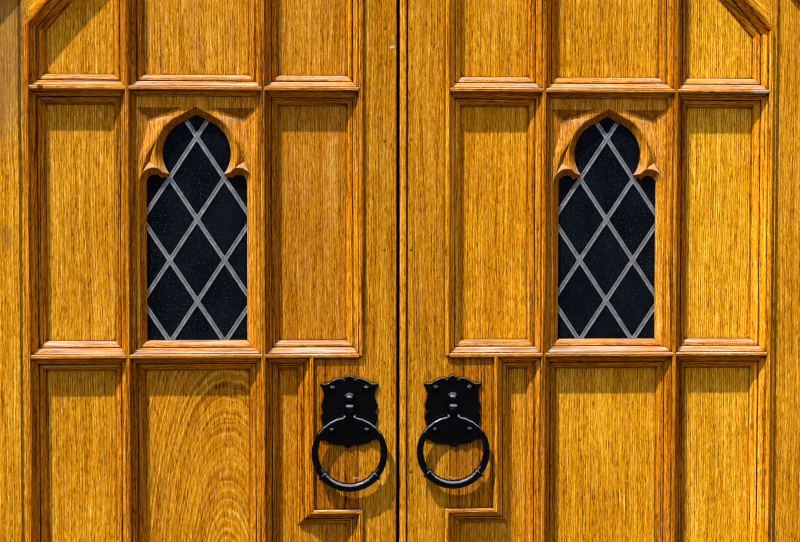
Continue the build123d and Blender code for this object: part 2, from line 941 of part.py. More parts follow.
def hinge_band(height):
    # A tapering strap across the back of the leaf, rolled into an eye at the jamb
    root = hinge_axis_x
    tip = root - band_length
    shape = outline(
        (root, -band_width / 2),
        (root, band_width / 2),
        (tip, band_tip_width / 2),
        (tip, -band_tip_width / 2, -band_tip_width / 2 + 1),
    )
    plane = Plane(origin=(0, leaf_back, height), x_dir=(1, 0, 0), z_dir=(0, -1, 0))
    strap = extrude(plane * shape, amount=band_thickness, dir=(0, 1, 0))
    edge = box_between((hinge_edge, 0, 0), (hinge_edge + eye_radius, leaf_back + eye_lift, 2 * height))
    rolled = Pos(root, hinge_axis_y, height) * Cylinder(eye_radius, band_width)
    bore = Pos(root, hinge_axis_y, height) * Cylinder(pintle_radius + pintle_clearance, 2 * band_width)
    return (strap - edge) + rolled - bore


def band_bolt_heads(height):
    heads = []
    pitch = band_length / (band_bolts + 1 - first_bolt_share)
    for place in range(band_bolts):
        x = hinge_axis_x - (place + first_bolt_share) * pitch
        foot = Plane(origin=(x, leaf_back + band_thickness, height), x_dir=(1, 0, 0), z_dir=(0, 1, 0))
        octagon = foot * RegularPolygon(bolt_head_radius, 8)
        heads.append(extrude(octagon, amount=bolt_head_rise, taper=bolt_head_slope))
    return heads


def pintle(height):
    # A plate on the back of the jamb, with a lug under the eye and a pin up through it
    seat = height - band_width / 2 - hinge_rest
    plate_low = seat - pintle_plate_height / 2
    left = hinge_axis_x + eye_radius + band_eye_gap
    plate = box_between(
        (left, leaf_back, plate_low),
        (left + pintle_plate_width, leaf_back + band_thickness, plate_low + pintle_plate_height),
    )
    arm = box_between(
        (hinge_axis_x, leaf_back + band_thickness / 2, seat - lug_height),
        (left + pintle_plate_width / 2, hinge_axis_y + eye_radius / 2, seat),
    )
    boss = Pos(hinge_axis_x, hinge_axis_y, seat - lug_height / 2) * Cylinder(eye_radius, lug_height)
    pin_length = band_width + pin_stand
    pin = Pos(hinge_axis_x, hinge_axis_y, seat + pin_length / 2) * Cylinder(pintle_radius, pin_length)
    arm = arm - box_between((0, 0, 0), (hinge_edge, leaf_back + eye_radius, 3 * height))
    return plate + arm + boss + pin


# Bolts that hold the left leaf shut

def slide_bolt(low, points_up):
    # A round rod with its knob nearer the end that stays in the guides
    rod = Pos(bolt_place, bolt_y, low + bolt_length / 2) * Cylinder(bolt_radius, bolt_length)
    share = near_knob if points_up else 1 - near_knob
    knob_y = bolt_y + knob_sink + knob_length / 2
    knob = Rot(90, 0, 0) * Cylinder(knob_radius, knob_length)
    knob = Pos(bolt_place, knob_y, low + share * bolt_length) * knob
    return rod + knob


def bolt_guides(low):
    # A plate with two bridges that the bolt runs in
    width = 2 * (bolt_radius + guide_wall + bolt_plate_edge)
    plate = box_between(
        (bolt_place - width / 2, leaf_back, low + bolt_plate_end),
        (bolt_place + width / 2, leaf_back + bolt_plate_thickness, low + bolt_length - bolt_plate_end),
    )
    bridges = plate
    for z in (low + guide_place, low + bolt_length - guide_place):
        half = bolt_radius + guide_wall
        bridge = box_between(
            (bolt_place - half, leaf_back, z - guide_height / 2),
            (bolt_place + half, bolt_y + half, z + guide_height / 2),
        )
        bridges = bridges + bridge
    bore = Cylinder(bolt_radius + bolt_clearance, bolt_length)
    return bridges - Pos(bolt_place, bolt_y, low + bolt_length / 2) * bore


def foot_bolt_low():
    return leaf_bottom + bolt_start


def head_bolt_low():
    return arch_height(leaf_radius, bolt_place) - bolt_start - bolt_length


def head_keep():
    # The eye over the head bolt, on the back of the frame
    low = head_bolt_low() + bolt_length + bolt_start + frame_gap + keep_lift
    half = bolt_radius + keep_wall
    block = box_between(
        (bolt_place - half, leaf_back, low),
        (bolt_place + half, bolt_y + half, low + keep_height),
    )
    hole = Pos(bolt_place, bolt_y, low) * Cylinder(bolt_radius + keep_clearance, 4 * keep_height)
    return block - hole


# Frame

def frame_section():
    # x is the distance beyond the leaf's edge
    inner = -stop_lap
    outer = frame_gap + jamb_width
    return outline(
        (inner, leaf_face - stop_gap),
        (inner, -jamb_front + jamb_hollow),
        (inner + jamb_hollow, -jamb_front, -jamb_hollow_bow),
        (outer, -jamb_front),
        (outer, leaf_back),
        (frame_gap, leaf_back),
        (frame_gap, leaf_face - stop_gap),
    )


def springing():
    # The mitre between jamb and head, from the stop's edge to the outer edge
    inner, outer = -stop_lap, frame_gap + jamb_width
    return [(hinge_edge + e, arch_height(leaf_radius + e, hinge_edge + e)) for e in (inner, outer)]


def jamb():
    top = arch_height(leaf_radius, hinge_edge) + spare_length
    post = upright(frame_section(), hinge_edge, threshold_height, top)
    post = mitre(post, *springing(), (hinge_edge, fixing_low))
    foot = box_between(
        (hinge_edge - stop_lap, -jamb_front, 0),
        (hinge_edge + frame_gap + jamb_width, leaf_back, threshold_height),
    )
    post = post + foot
    for z in (fixing_low, upper_nose - fixing_drop):
        hole = Rot(0, 90, 0) * Cylinder(fixing_radius, 3 * jamb_width)
        post = post - Pos(hinge_edge + jamb_width / 2, 0, z) * hole
    return post


def frame_head():
    section = Pos(leaf_radius, 0, 0) * frame_section()
    start = arch_angle(leaf_radius, hinge_edge) - spare_angle
    head = bent(section, start, arch_angle(leaf_radius, 0) + spare_angle - start)
    head = mitre(head, *springing(), (0, 2 * leaf_radius))
    return split(head, bisect_by=Plane(origin=(0, 0, 0), z_dir=(1, 0, 0)), keep=Keep.TOP)


def threshold():
    half = hinge_edge - stop_lap
    section = outline(
        (-threshold_reach, 0),
        (threshold_reach, 0),
        (threshold_reach, threshold_height),
        (-jamb_front, threshold_height),
        (-threshold_reach, threshold_height - threshold_slope),
    )
    plane = Plane(origin=(-half, 0, 0), x_dir=(0, 1, 0), z_dir=(1, 0, 0))
    sill = extrude(plane * section, amount=2 * half, dir=(1, 0, 0))
    return sill - Pos(-bolt_place, bolt_y, threshold_height) * Cylinder(
        bolt_radius + keep_clearance, 2 * (threshold_height - keep_floor))


# Putting the pieces together

def leaf(name, edge, with_bead, handle_place, ring_radius):
    strips = [hinge_side_moulding(), bottom_moulding(), arch_moulding()]
    strips += meeting_side_mouldings()
    rounds = block_mouldings()
    outer, inner = [mullion(nose, strips) for nose in (third_nose, second_nose)]
    block = lock_block()
    upper = transom(upper_nose, strips, (outer, inner), block)
    middle = transom(middle_nose, strips + rounds, (outer, inner), block)
    leads, quarries = leaded_light()
    nodes = {
        "hinge_stile": hinge_stile(),
        "meeting_stile": meeting_stile(edge, with_bead),
        "head_rail": head_rail(),
        "bottom_rail": bottom_rail(),
        "lock_block": block,
        "outer_mullion": outer,
        "inner_mullion": inner,
        "upper_transom": upper,
        "middle_transom": middle,
        "arch_moulding": strips[2],
        "frame_mouldings": strips[:2] + strips[3:],
        "block_mouldings": rounds,
        "upper_panels": upper_panels(),
        "middle_panels": middle_panels(),
        "lower_panels": lower_panels(),
        "tracery": tracery([outer, inner, upper[1], middle[1]]),
        "window_leads": leads,
        "window_glass": quarries,
        "sash_beads": sash_beads(),
        "handle_plate": handle_plate(handle_place),
        "handle_studs": handle_studs(handle_place),
        "handle_staple": staple(handle_place),
        "ring": ring(handle_place, ring_radius),
        "hinge_bands": [hinge_band(height) for height in hinge_heights()],
        "band_bolts": [head for height in hinge_heights() for head in band_bolt_heads(height)],
    }
    if with_bead:
        nodes["meeting_bead"] = meeting_bead(edge)
    return {name + "_" + node: piece for node, piece in nodes.items()}


def as_mirrored(piece):
    if isinstance(piece, list):
        return [mirror(one, about=Plane.YZ) for one in piece]
    return mirror(piece, about=Plane.YZ)


def all_nodes():
    nodes = leaf("right", right_meeting_edge, True, right_handle_place, right_ring_radius)
    left = leaf("left", left_meeting_edge, False, left_handle_place, left_ring_radius)
    left["left_foot_bolt"] = slide_bolt(foot_bolt_low(), False)
    left["left_foot_bolt_guides"] = bolt_guides(foot_bolt_low())
    left["left_head_bolt"] = slide_bolt(head_bolt_low(), True)
    left["left_head_bolt_guides"] = bolt_guides(head_bolt_low())
    nodes.update({node: as_mirrored(piece) for node, piece in left.items()})
    nodes["jambs"] = [jamb(), as_mirrored(jamb())]
    nodes["frame_head"] = [frame_head(), as_mirrored(frame_head())]
    pins = [pintle(height) for height in hinge_heights()]
    nodes["pintles"] = pins + as_mirrored(pins)
    nodes["head_bolt_keep"] = as_mirrored(head_keep())
    nodes["threshold"] = threshold()
    return nodes


def solids_of(piece):
    if isinstance(piece, list):
        return [solid for one in piece for solid in solids_of(one)]
    return list(piece.solids())


os.makedirs("parts", exist_ok=True)
for node, piece in all_nodes().items():
    solids = solids_of(piece)
    whole = solids[0] if len(solids) == 1 else Compound(children=solids)
    export_step(whole, "parts/" + node + ".step")
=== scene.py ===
import math

import bpy
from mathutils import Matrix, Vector


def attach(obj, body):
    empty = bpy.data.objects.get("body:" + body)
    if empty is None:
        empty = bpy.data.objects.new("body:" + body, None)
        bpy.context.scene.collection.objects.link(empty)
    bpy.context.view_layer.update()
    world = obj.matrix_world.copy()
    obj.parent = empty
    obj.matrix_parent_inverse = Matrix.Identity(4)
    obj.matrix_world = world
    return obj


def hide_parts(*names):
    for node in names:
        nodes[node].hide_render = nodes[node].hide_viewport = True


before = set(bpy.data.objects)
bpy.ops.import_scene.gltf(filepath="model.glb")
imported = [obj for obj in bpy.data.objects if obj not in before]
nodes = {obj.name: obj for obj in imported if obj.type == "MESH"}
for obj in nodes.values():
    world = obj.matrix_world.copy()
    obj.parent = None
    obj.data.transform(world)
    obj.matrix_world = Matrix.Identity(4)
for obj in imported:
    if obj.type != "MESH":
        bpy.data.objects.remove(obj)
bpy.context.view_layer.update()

scene = bpy.context.scene

# The view
# The photograph is taken nearly square on, from a little left of the middle and above the handles,
# about two and a half metres out, with a lens that takes in one and a half metres of doorway.
picture_width = 800
focal_pixels = 1400.0
tilt_down, roll, turn_right = 1.922, -0.053, 3.262
camera_data = bpy.data.cameras.new("photo_view")
camera_data.sensor_width = 36.0
camera_data.lens = focal_pixels * camera_data.sensor_width / picture_width
camera_data.clip_start = 0.05
camera_data.clip_end = 60.0
camera = bpy.data.objects.new("photo_view", camera_data)
scene.collection.objects.link(camera)
camera.location = (-0.1557, -2.6150, 1.3983)
camera.rotation_euler = [math.radians(turn) for turn in (90 - tilt_down, roll, -turn_right)]
scene.camera = camera
scene.view_settings.view_transform = "Standard"
scene.cycles.filter_width = 1.0

# The light and the floor
# One soft-edged key from high on the left, as the photograph's, a surround that is bright overhead
# and dim at eye level, and a weak light from behind so that the inner face can be seen. The
# camera sees a plain grey background, and a paler floor than the one that light bounces off.


def sun(name, travel, energy, spread):
    """A light from far away that shines along travel. Spread is its width in degrees."""
    data = bpy.data.lights.new(name, "SUN")
    data.energy = energy
    data.angle = math.radians(spread)
    light = bpy.data.objects.new(name, data)
    light.rotation_euler = Vector(travel).to_track_quat("-Z", "Y").to_euler()
    scene.collection.objects.link(light)
    return data


key_data = sun("key", travel=(0.95, 1.0, -2.2), energy=5.4, spread=1.2)
key_data.color = (1.0, 0.97, 0.91)
sun("back_fill", travel=(-0.5, -1.0, -0.75), energy=1.8, spread=12)

world = bpy.data.worlds.new("surround")
world.use_nodes = True
scene.world = world
tree = world.node_tree
height = tree.nodes.new("ShaderNodeSeparateXYZ")
tree.links.new(tree.nodes.new("ShaderNodeTexCoord").outputs["Generated"], height.inputs[0])


def graded(background, colour, low, high, dim, bright):
    """Grades a background from dim to bright between two heights of the sky, from 0 at eye level
    to 1 overhead."""
    grade = tree.nodes.new("ShaderNodeMapRange")
    grade.interpolation_type = "SMOOTHSTEP"
    limits = {"From Min": low, "From Max": high, "To Min": dim, "To Max": bright}
    for socket, number in limits.items():
        grade.inputs[socket].default_value = number
    tree.links.new(height.outputs["Z"], grade.inputs["Value"])
    tree.links.new(grade.outputs[0], background.inputs["Strength"])
    background.inputs["Color"].default_value = (*colour, 1)


# The iron mirrors a brighter patch of sky than the one that lights the door.
sky = tree.nodes["Background"]
graded(sky, (0.80, 0.89, 1.08), low=0.08, high=0.50, dim=0.10, bright=1.25)
mirrored = tree.nodes.new("ShaderNodeBackground")
graded(mirrored, (0.78, 0.88, 1.10), low=0.34, high=0.72, dim=0.10, bright=34.0)
pale = tree.nodes.new("ShaderNodeBackground")
pale.inputs["Color"].default_value = (0.60, 0.62, 0.65, 1)
seen = tree.nodes.new("ShaderNodeLightPath")
plain_sight = tree.nodes.new("ShaderNodeMath")
plain_sight.operation = "MAXIMUM"
tree.links.new(seen.outputs["Is Camera Ray"], plain_sight.inputs[0])
tree.links.new(seen.outputs["Is Transmission Ray"], plain_sight.inputs[1])


def chosen_by(share, first, second):
    """Shows the second shader where share is one, and the first elsewhere."""
    choice = tree.nodes.new("ShaderNodeMixShader")
    for source, socket in zip((share, first.outputs[0], second.outputs[0]), choice.inputs):
        tree.links.new(source, socket)
    return choice


in_mirror = chosen_by(seen.outputs["Is Glossy Ray"], sky, mirrored)
surround = chosen_by(plain_sight.outputs[0], in_mirror, pale)
tree.links.new(surround.outputs[0], tree.nodes["World Output"].inputs["Surface"])

bounced_tone, seen_tone = (0.10, 0.098, 0.092, 1), (0.19, 0.19, 0.186, 1)
bpy.ops.object.select_all(action="DESELECT")
bpy.ops.mesh.primitive_plane_add(size=24, location=(0, 0, 0))
floor = bpy.context.object
floor.name = "floor"
floor_paint = bpy.data.materials.new("pale_floor")
floor_paint.use_nodes = True
tree = floor_paint.node_tree
paint = tree.nodes["Principled BSDF"]
tone = tree.nodes.new("ShaderNodeMix")
tone.data_type = "RGBA"
tone.inputs[6].default_value = bounced_tone
tone.inputs[7].default_value = seen_tone
in_view = tree.nodes.new("ShaderNodeLightPath").outputs["Is Camera Ray"]
tree.links.new(in_view, tone.inputs["Factor"])
tree.links.new(tone.outputs[2], paint.inputs["Base Color"])
paint.inputs["Roughness"].default_value = 0.9
paint.inputs["Specular IOR Level"].default_value = 0.0
floor.data.materials.append(floor_paint)

# Jambs and frame head
# The fixed frame of sawn and planed oak, mitred together at the springing and screwed to the
# wall. Its finish is the oak that the whole doorway is made of, so that finish is defined here.


class Net:
    """Short ways to add and join the nodes of one material. Lengths are in metres."""

    def __init__(self, material):
        material.use_nodes = True
        self.tree = material.node_tree
        self.shader = self.tree.nodes["Principled BSDF"]
        self.place = self.add("TexCoord").outputs["Object"]

    def add(self, kind, **settings):
        node = self.tree.nodes.new("ShaderNode" + kind)
        for name, value in settings.items():
            setattr(node, name, value)
        return node

    def join(self, source, target):
        if isinstance(source, (int, float, tuple)):
            target.default_value = source
        else:
            self.tree.links.new(source, target)

    def math(self, operation, *values):
        node = self.add("Math", operation=operation)
        for value, socket in zip(values, node.inputs):
            self.join(value, socket)
        return node.outputs[0]

    def vector(self, operation, *values):
        node = self.add("VectorMath", operation=operation)
        for value, socket in zip(values, node.inputs):
            self.join(value, socket)
        return node.outputs["Value" if operation in ("LENGTH", "DOT_PRODUCT") else "Vector"]

    def turned(self, place, angle):
        """The place turned about the axis that runs through the thickness of the door."""
        node = self.add("Mapping")
        node.inputs["Rotation"].default_value = (0, angle, 0)
        self.join(place, node.inputs["Vector"])
        return node.outputs["Vector"]

    def parts(self, vector):
        node = self.add("SeparateXYZ")
        self.join(vector, node.inputs[0])
        return node.outputs

    def packed(self, x, y, z):
        node = self.add("CombineXYZ")
        for value, socket in zip((x, y, z), node.inputs):
            self.join(value, socket)
        return node.outputs[0]

    def noise(self, vector, pitch, detail=2.0, roughness=0.5):
        """Noise with pitch waves to the metre, either one number or one for each axis."""
        pitch = pitch if isinstance(pitch, tuple) else (pitch, pitch, pitch)
        node = self.add("TexNoise")
        node.inputs["Scale"].default_value = 1.0
        node.inputs["Detail"].default_value = detail
        node.inputs["Roughness"].default_value = roughness
        self.join(self.vector("MULTIPLY", vector, pitch), node.inputs["Vector"])
        return node.outputs["Fac"]

    def between(self, value, low, high, start=0.0, end=1.0):
        """Goes smoothly from start to end while the value goes from low to high."""
        node = self.add("MapRange", interpolation_type="SMOOTHSTEP")
        for number, socket in zip((value, low, high, start, end), node.inputs):
            self.join(number, socket)
        return node.outputs[0]

    def mix(self, share, first, second, blend="MIX"):
        node = self.add("Mix", data_type="RGBA", blend_type=blend)
        self.join(share, node.inputs["Factor"])
        for value, socket in ((first, node.inputs[6]), (second, node.inputs[7])):
            if isinstance(value, tuple):
                socket.default_value = (*value, 1.0)
            else:
                self.join(value, socket)
        return node.outputs[2]

    def ramp(self, value, *stops):
        node = self.add("ValToRGB")
        band = node.color_ramp
        while len(band.elements) < len(stops):
            band.elements.new(0.5)
        for element, (place, colour) in zip(band.elements, stops):
            element.position = place
            element.color = (*colour, 1.0)
        self.join(value, node.inputs[0])
        return node.outputs[0]

    def bump(self, height, strength, distance, normal=None):
        node = self.add("Bump")
        node.inputs["Strength"].default_value = strength
        node.inputs["Distance"].default_value = distance
        self.join(height, node.inputs["Height"])
        if normal is not None:
            self.join(normal, node.inputs["Normal"])
        return node.outputs[0]

    def worn_normal(self, radius, samples=4):
        """The surface's direction as if its edges were worn round."""
        node = self.add("Bevel", samples=samples)
        node.inputs["Radius"].default_value = radius
        return node.outputs[0]

    def surface(self, colour, roughness, shine, normal=None):
        look = {"Base Color": colour, "Roughness": roughness, "Specular IOR Level": shine}
        for name, value in look.items():
            self.join(value, self.shader.inputs[name])
        if normal is not None:
            self.join(normal, self.shader.inputs["Normal"])


grain_turns = {
    "up": 0.0,
    "across": math.radians(90),
    "right_arch": math.radians(51),
    "left_arch": math.radians(-51),
}
# Waves to the metre across, through and along the board, then how much finer detail they have.
oak_noise = {
    "sway": ((7.0, 7.0, 1.8), 2.0),
    "wave": ((60.0, 60.0, 13.0), 1.0),
    "year": ((95.0, 40.0, 1.2), 1.0),
    "line": ((360.0, 150.0, 5.5), 1.0, 0.6),
    "pore": ((600.0, 250.0, 72.0), 1.0),
    "glint": ((560.0, 250.0, 50.0), 1.0),
    "speckle": ((460.0, 300.0, 190.0), 2.0, 0.6),
    "cloud": ((11.0, 11.0, 3.0), 4.0, 0.65),
    "stain": ((230.0, 230.0, 3.5), 3.0, 0.7),
    "bloom": ((44.0, 44.0, 10.0), 4.0, 0.75),
    "bare": ((40.0, 40.0, 9.0), 3.0, 0.65),
    "streak": ((260.0, 260.0, 7.0), 3.0, 0.75),
}
oak_colours = (
    (0.05, (0.060, 0.016, 0.0006)),
    (0.28, (0.250, 0.080, 0.0012)),
    (0.50, (0.560, 0.195, 0.0022)),
    (0.72, (0.800, 0.335, 0.0070)),
    (0.96, (0.960, 0.600, 0.0900)),
)
weathered_colours = (
    (0.30, (0.110, 0.036, 0.007)),
    (0.43, (0.320, 0.158, 0.068)),
    (0.54, (0.440, 0.290, 0.195)),
    (0.68, (0.720, 0.600, 0.490)),
)
bloom_colour, bleached_colour = (0.500, 0.240, 0.060), (0.600, 0.340, 0.190)
# Colours of the painted shade in creases and along carved edges.
crease_shade_colour, arris_shade_colour = (0.016, 0.005, 0.001), (0.110, 0.040, 0.010)
# Tints of the painted shade and painted light on the sides, and of the painted shade under carved
# facets.
painted_shade_tint, painted_light_tint, deep_shade = (0.80, 0.74, 0.70), (1.10, 1.12, 1.00), (0.40, 0.31, 0.30)
to_the_light, to_the_sky = (-0.75, 0.0, 0.65), (-0.45, 0.0, 0.89)
sway_reach, wave_reach, least_rise = 0.026, 0.0036, 0.002
middle_tone, bloom_share, crease_shade_share = 0.550, 0.22, 0.94
oak_shine, arris_width, relief_depth = 0.02, 0.0016, 0.0006


def field(net, place, feature):
    return net.noise(place, *oak_noise[feature])


def from_pith(net, x, z, moved, pith, heart, cone):
    """The distance from the middle of the tree, swayed as the tree grew."""
    off = net.math("SUBTRACT", x, pith)
    rise = net.math("MULTIPLY", net.math("SUBTRACT", z, heart), cone)
    rise = net.math("MAXIMUM", rise, least_rise)
    across = net.math("MULTIPLY_ADD", off, off, net.math("MULTIPLY", rise, rise))
    across = net.math("SQRT", across)
    for feature, reach in (("sway", sway_reach), ("wave", wave_reach)):
        bend = net.math("SUBTRACT", field(net, moved, feature), 0.5)
        across = net.math("MULTIPLY_ADD", bend, reach, across)
    return across


def figured(net, wood, moved, across, rings, tone, stain):
    """How light the oak is, from its rings, pores, flecks and streaks, and how its face rises and
    falls with them."""
    ring_pitch, ring_share = rings
    line = field(net, wood, "line")
    pore = net.between(field(net, moved, "pore"), 0.52, 0.68)
    elsewhere = net.vector("ADD", moved, (7.1, 0.0, 3.3))
    glint = net.between(field(net, elsewhere, "glint"), 0.53, 0.69)
    from_ring = net.math("PINGPONG", across, ring_pitch / 2)
    crest = net.between(from_ring, 0.0, ring_pitch * 0.28, 1.0, 0.0)
    value = middle_tone + tone
    for feature, middle, share in (
        (field(net, wood, "year"), 0.5, 0.30),
        (line, 0.5, 0.72),
        (field(net, moved, "cloud"), 0.5, 0.30),
        (crest, 0.0, ring_share),
        (field(net, moved, "speckle"), 0.5, 0.42),
        (pore, 0.0, -0.24),
        (glint, 0.0, 0.20),
    ):
        value = net.math("MULTIPLY_ADD", net.math("SUBTRACT", feature, middle), share, value)
    if stain:
        run = net.between(field(net, moved, "stain"), 0.48, 0.66)
        value = net.math("MULTIPLY_ADD", run, -stain, value)
    relief = net.math("SUBTRACT", net.math("MULTIPLY_ADD", glint, 0.4, line), pore)
    return value, relief


def weathered(net, colour, moved, shady, carved, weather):
    """Adds painted light and shade to the sides and carved facets of the oak, and the bleaching of
    rain and sun on what faces up.
    """
    facing = net.add("TexCoord").outputs["Normal"]
    upward = net.parts(facing)[2]
    # Painted shade on faces turned away from the key light, painted light on faces turned to it.
    if shady:
        side = net.vector("DOT_PRODUCT", facing, to_the_light)
        colour = net.mix(net.between(side, -0.55, 0.35, shady, 0.0), colour, painted_shade_tint, "MULTIPLY")
        colour = net.mix(net.between(side, 0.25, 0.60, 0.0, shady), colour, painted_light_tint, "MULTIPLY")
    if carved:
        # Painted shade on facets that face down, away from the sky; bleaching on those that face
        # up.
        side = net.vector("DOT_PRODUCT", facing, to_the_sky)
        colour = net.mix(net.between(side, -0.36, -0.04, 0.85, 0.0), colour, deep_shade, "MULTIPLY")
        colour = net.mix(net.between(upward, 0.10, 0.45, 0.0, 0.55), colour, bleached_colour)
    if weather:
        patch = net.between(field(net, moved, "bare"), 0.34, 0.62, 0.40, 1.0)
        bare = net.math("MULTIPLY", net.between(upward, 0.18, 0.75), patch)
        silver = net.ramp(field(net, moved, "streak"), *weathered_colours)
        colour = net.mix(net.math("MULTIPLY", bare, weather), colour, silver)
    return colour


def oak(name, grain="up", seed=0.0, tone=0.0, tint=(1.0, 1.0, 1.0), pith=1.3, heart=0.0,
        cone=0.012, rings=(0.0045, 0.14), weather=0.0, shady=0.0, stain=0.0, sheltered=0.009,
        carved=False, rounded=0.0, marks=()):
    """Oiled golden oak, cut from the tree so that its rings show as upright lines. The pith is
    where the middle of the tree lies beside the board. Rings run out of the face faster the larger
    cone is, over the height of heart: near the pith they then show as arches. Rings gives their
    pitch and strength, shady paints shade on what faces right or down and light on what faces the
    key light, stain adds dark streaks, weather bleaches what faces up, and carved sets the facets
    off from each other with painted shade below and along their edges and creases, and bleaching
    above. Painted shade lies in creases, where another surface is nearer than sheltered. Rounded
    is the radius that wear has given the edges."""
    material = bpy.data.materials.new(name)
    net = Net(material)
    aligned = net.turned(net.place, grain_turns[grain])
    x, y, z = net.parts(aligned)
    moved = net.vector("ADD", aligned, (seed, seed * 0.7, seed * 1.3))
    across = from_pith(net, x, z, moved, pith, heart, cone)
    wood = net.packed(net.math("ADD", across, seed), y, net.math("ADD", z, seed))
    value, relief = figured(net, wood, moved, across, rings, tone, stain)
    colour = net.ramp(value, *oak_colours)
    bloom = net.between(field(net, moved, "bloom"), 0.52, 0.72)
    colour = net.mix(net.math("MULTIPLY", bloom, bloom_share), colour, bloom_colour)
    if tint != (1.0, 1.0, 1.0):
        colour = net.mix(1.0, colour, tint, "MULTIPLY")
    colour = weathered(net, colour, moved, shady, carved, weather)
    for mark in marks:
        colour = mark(net, colour)
    if carved:
        # Painted shade along the edges and creases of the carving.
        true_normal = net.add("NewGeometry").outputs["Normal"]
        turn = net.vector("DOT_PRODUCT", net.worn_normal(arris_width), true_normal)
        colour = net.mix(net.between(turn, 0.80, 0.985, 0.62, 0.0), colour, arris_shade_colour)
    # Painted shade in creases and corners, where other surfaces are near.
    shelter = net.add("AmbientOcclusion", samples=8)
    shelter.inputs["Distance"].default_value = sheltered
    crease_shade = net.between(shelter.outputs["AO"], 0.38, 0.87, 1.0, 0.0)
    colour = net.mix(net.math("MULTIPLY", crease_shade, crease_shade_share), colour, crease_shade_colour)
    edge = net.worn_normal(rounded) if rounded else None
    roughness = net.between(value, 0.2, 0.9, 0.62, 0.48)
    net.surface(colour, roughness, oak_shine, net.bump(relief, 0.35, relief_depth, edge))
    return material


def spot(x, z, wide, high, colour, share):
    """A stain, plug or worn place on a face of the door, soft at its edge."""
    def mark(net, under):
        place = net.vector("SUBTRACT", net.place, (x, 0.0, z))
        place = net.vector("MULTIPLY", place, (1.0 / wide, 0.0, 1.0 / high))
        ragged = net.math("SUBTRACT", net.noise(net.place, (160.0, 160.0, 90.0)), 0.5)
        reach = net.math("MULTIPLY_ADD", ragged, 0.9, net.vector("LENGTH", place))
        return net.mix(net.between(reach, 0.55, 1.05, share, 0.0), under, colour)
    return mark


def finish(node, materials, choose_for=None):
    """Gives a CAD node its materials. choose_for says which one a face takes, by its middle."""
    mesh = nodes[node].data
    mesh.materials.clear()
    for material in materials:
        mesh.materials.append(material)
    for face in mesh.polygons:
        face.material_index = choose_for(face.center) if choose_for else 0


finish("jambs", [oak("jamb_oak", seed=1.7, tone=-0.05, tint=(0.85, 0.85, 1.0))])
head_oaks = [
    oak("right_head_oak", "right_arch", seed=2.3, tone=-0.05),
    oak("left_head_oak", "left_arch", seed=2.9, tone=-0.05),
]
finish("frame_head", head_oaks, lambda middle: 0 if middle.x > 0 else 1)

# Threshold
# A worn stone step under the leaves, bedded level between the jambs, its front edge sloped to
# shed rain. It is gritty, with paler and darker clouds.
stone_colours = ((0.3, (0.20, 0.18, 0.155)), (0.7, (0.40, 0.375, 0.33)))
stone = bpy.data.materials.new("worn_stone")
net = Net(stone)
grit = net.noise(net.place, 900.0, 2.0, 0.7)
clouds = net.noise(net.place, 7.0, 4.0, 0.6)
stone_tone = net.math("MULTIPLY_ADD", net.math("SUBTRACT", grit, 0.5), 0.5, clouds)
grit_relief = net.bump(grit, 0.5, 0.0008)
stone_colour = net.ramp(stone_tone, *stone_colours)
net.surface(stone_colour, roughness=0.85, shine=0.05, normal=grit_relief)
finish("threshold", [stone])

# Stiles and rails
# The outer framing of each leaf: hinge stile, meeting stile, curved head rail and bottom rail,
# mortised together. Oak plugs cover the screws beside the gap, each with a painted highlight at
# its upper left. Rain has stained the left hinge stile, and its upper stain is darkened further as
# painted shadow of the wall above the doorway. A dark line along the moulding beside both hinge
# stiles is both a joint and painted shade.
hands = {"right": 1, "left": -1}
hinge_tints = {"right": (0.87, 0.88, 0.85), "left": (0.92, 0.96, 1.1)}
stile_tint = (0.80, 0.79, 1.0)
stile_stains_and_shadow = {
    "right": [],
    "left": [
        spot(-0.727, 1.372, 0.012, 0.026, (0.20, 0.10, 0.025), 0.45),
        # Rain stain, darkened further as painted shadow of the wall above the doorway.
        spot(-0.735, 1.74, 0.060, 0.24, (0.22, 0.13, 0.05), 0.50),
    ],
}
chips = {"right": [], "left": [spot(-0.0232, 1.7245, 0.0055, 0.0035, (0.70, 0.55, 0.38), 0.8)]}
plug_x = {"right": 0.0123, "left": -0.0368}
plug_heights = {
    "right": (1.7587, 1.5545, 1.3502, 1.1449, 0.9367, 0.73, 0.52, 0.31),
    "left": (1.7585, 1.5516, 1.3502, 1.1404, 0.73, 0.52, 0.31),
}
plug_half_width, plug_half_height = 0.0030, 0.0034
plug_colour, plug_lit_colour = (0.035, 0.012, 0.004), (0.60, 0.33, 0.10)
lit_shift, lit_size = 0.0008, 0.0013
joint_shade_x, joint_shade_middle, joint_shade_half_height = 0.7012, 1.20, 1.9
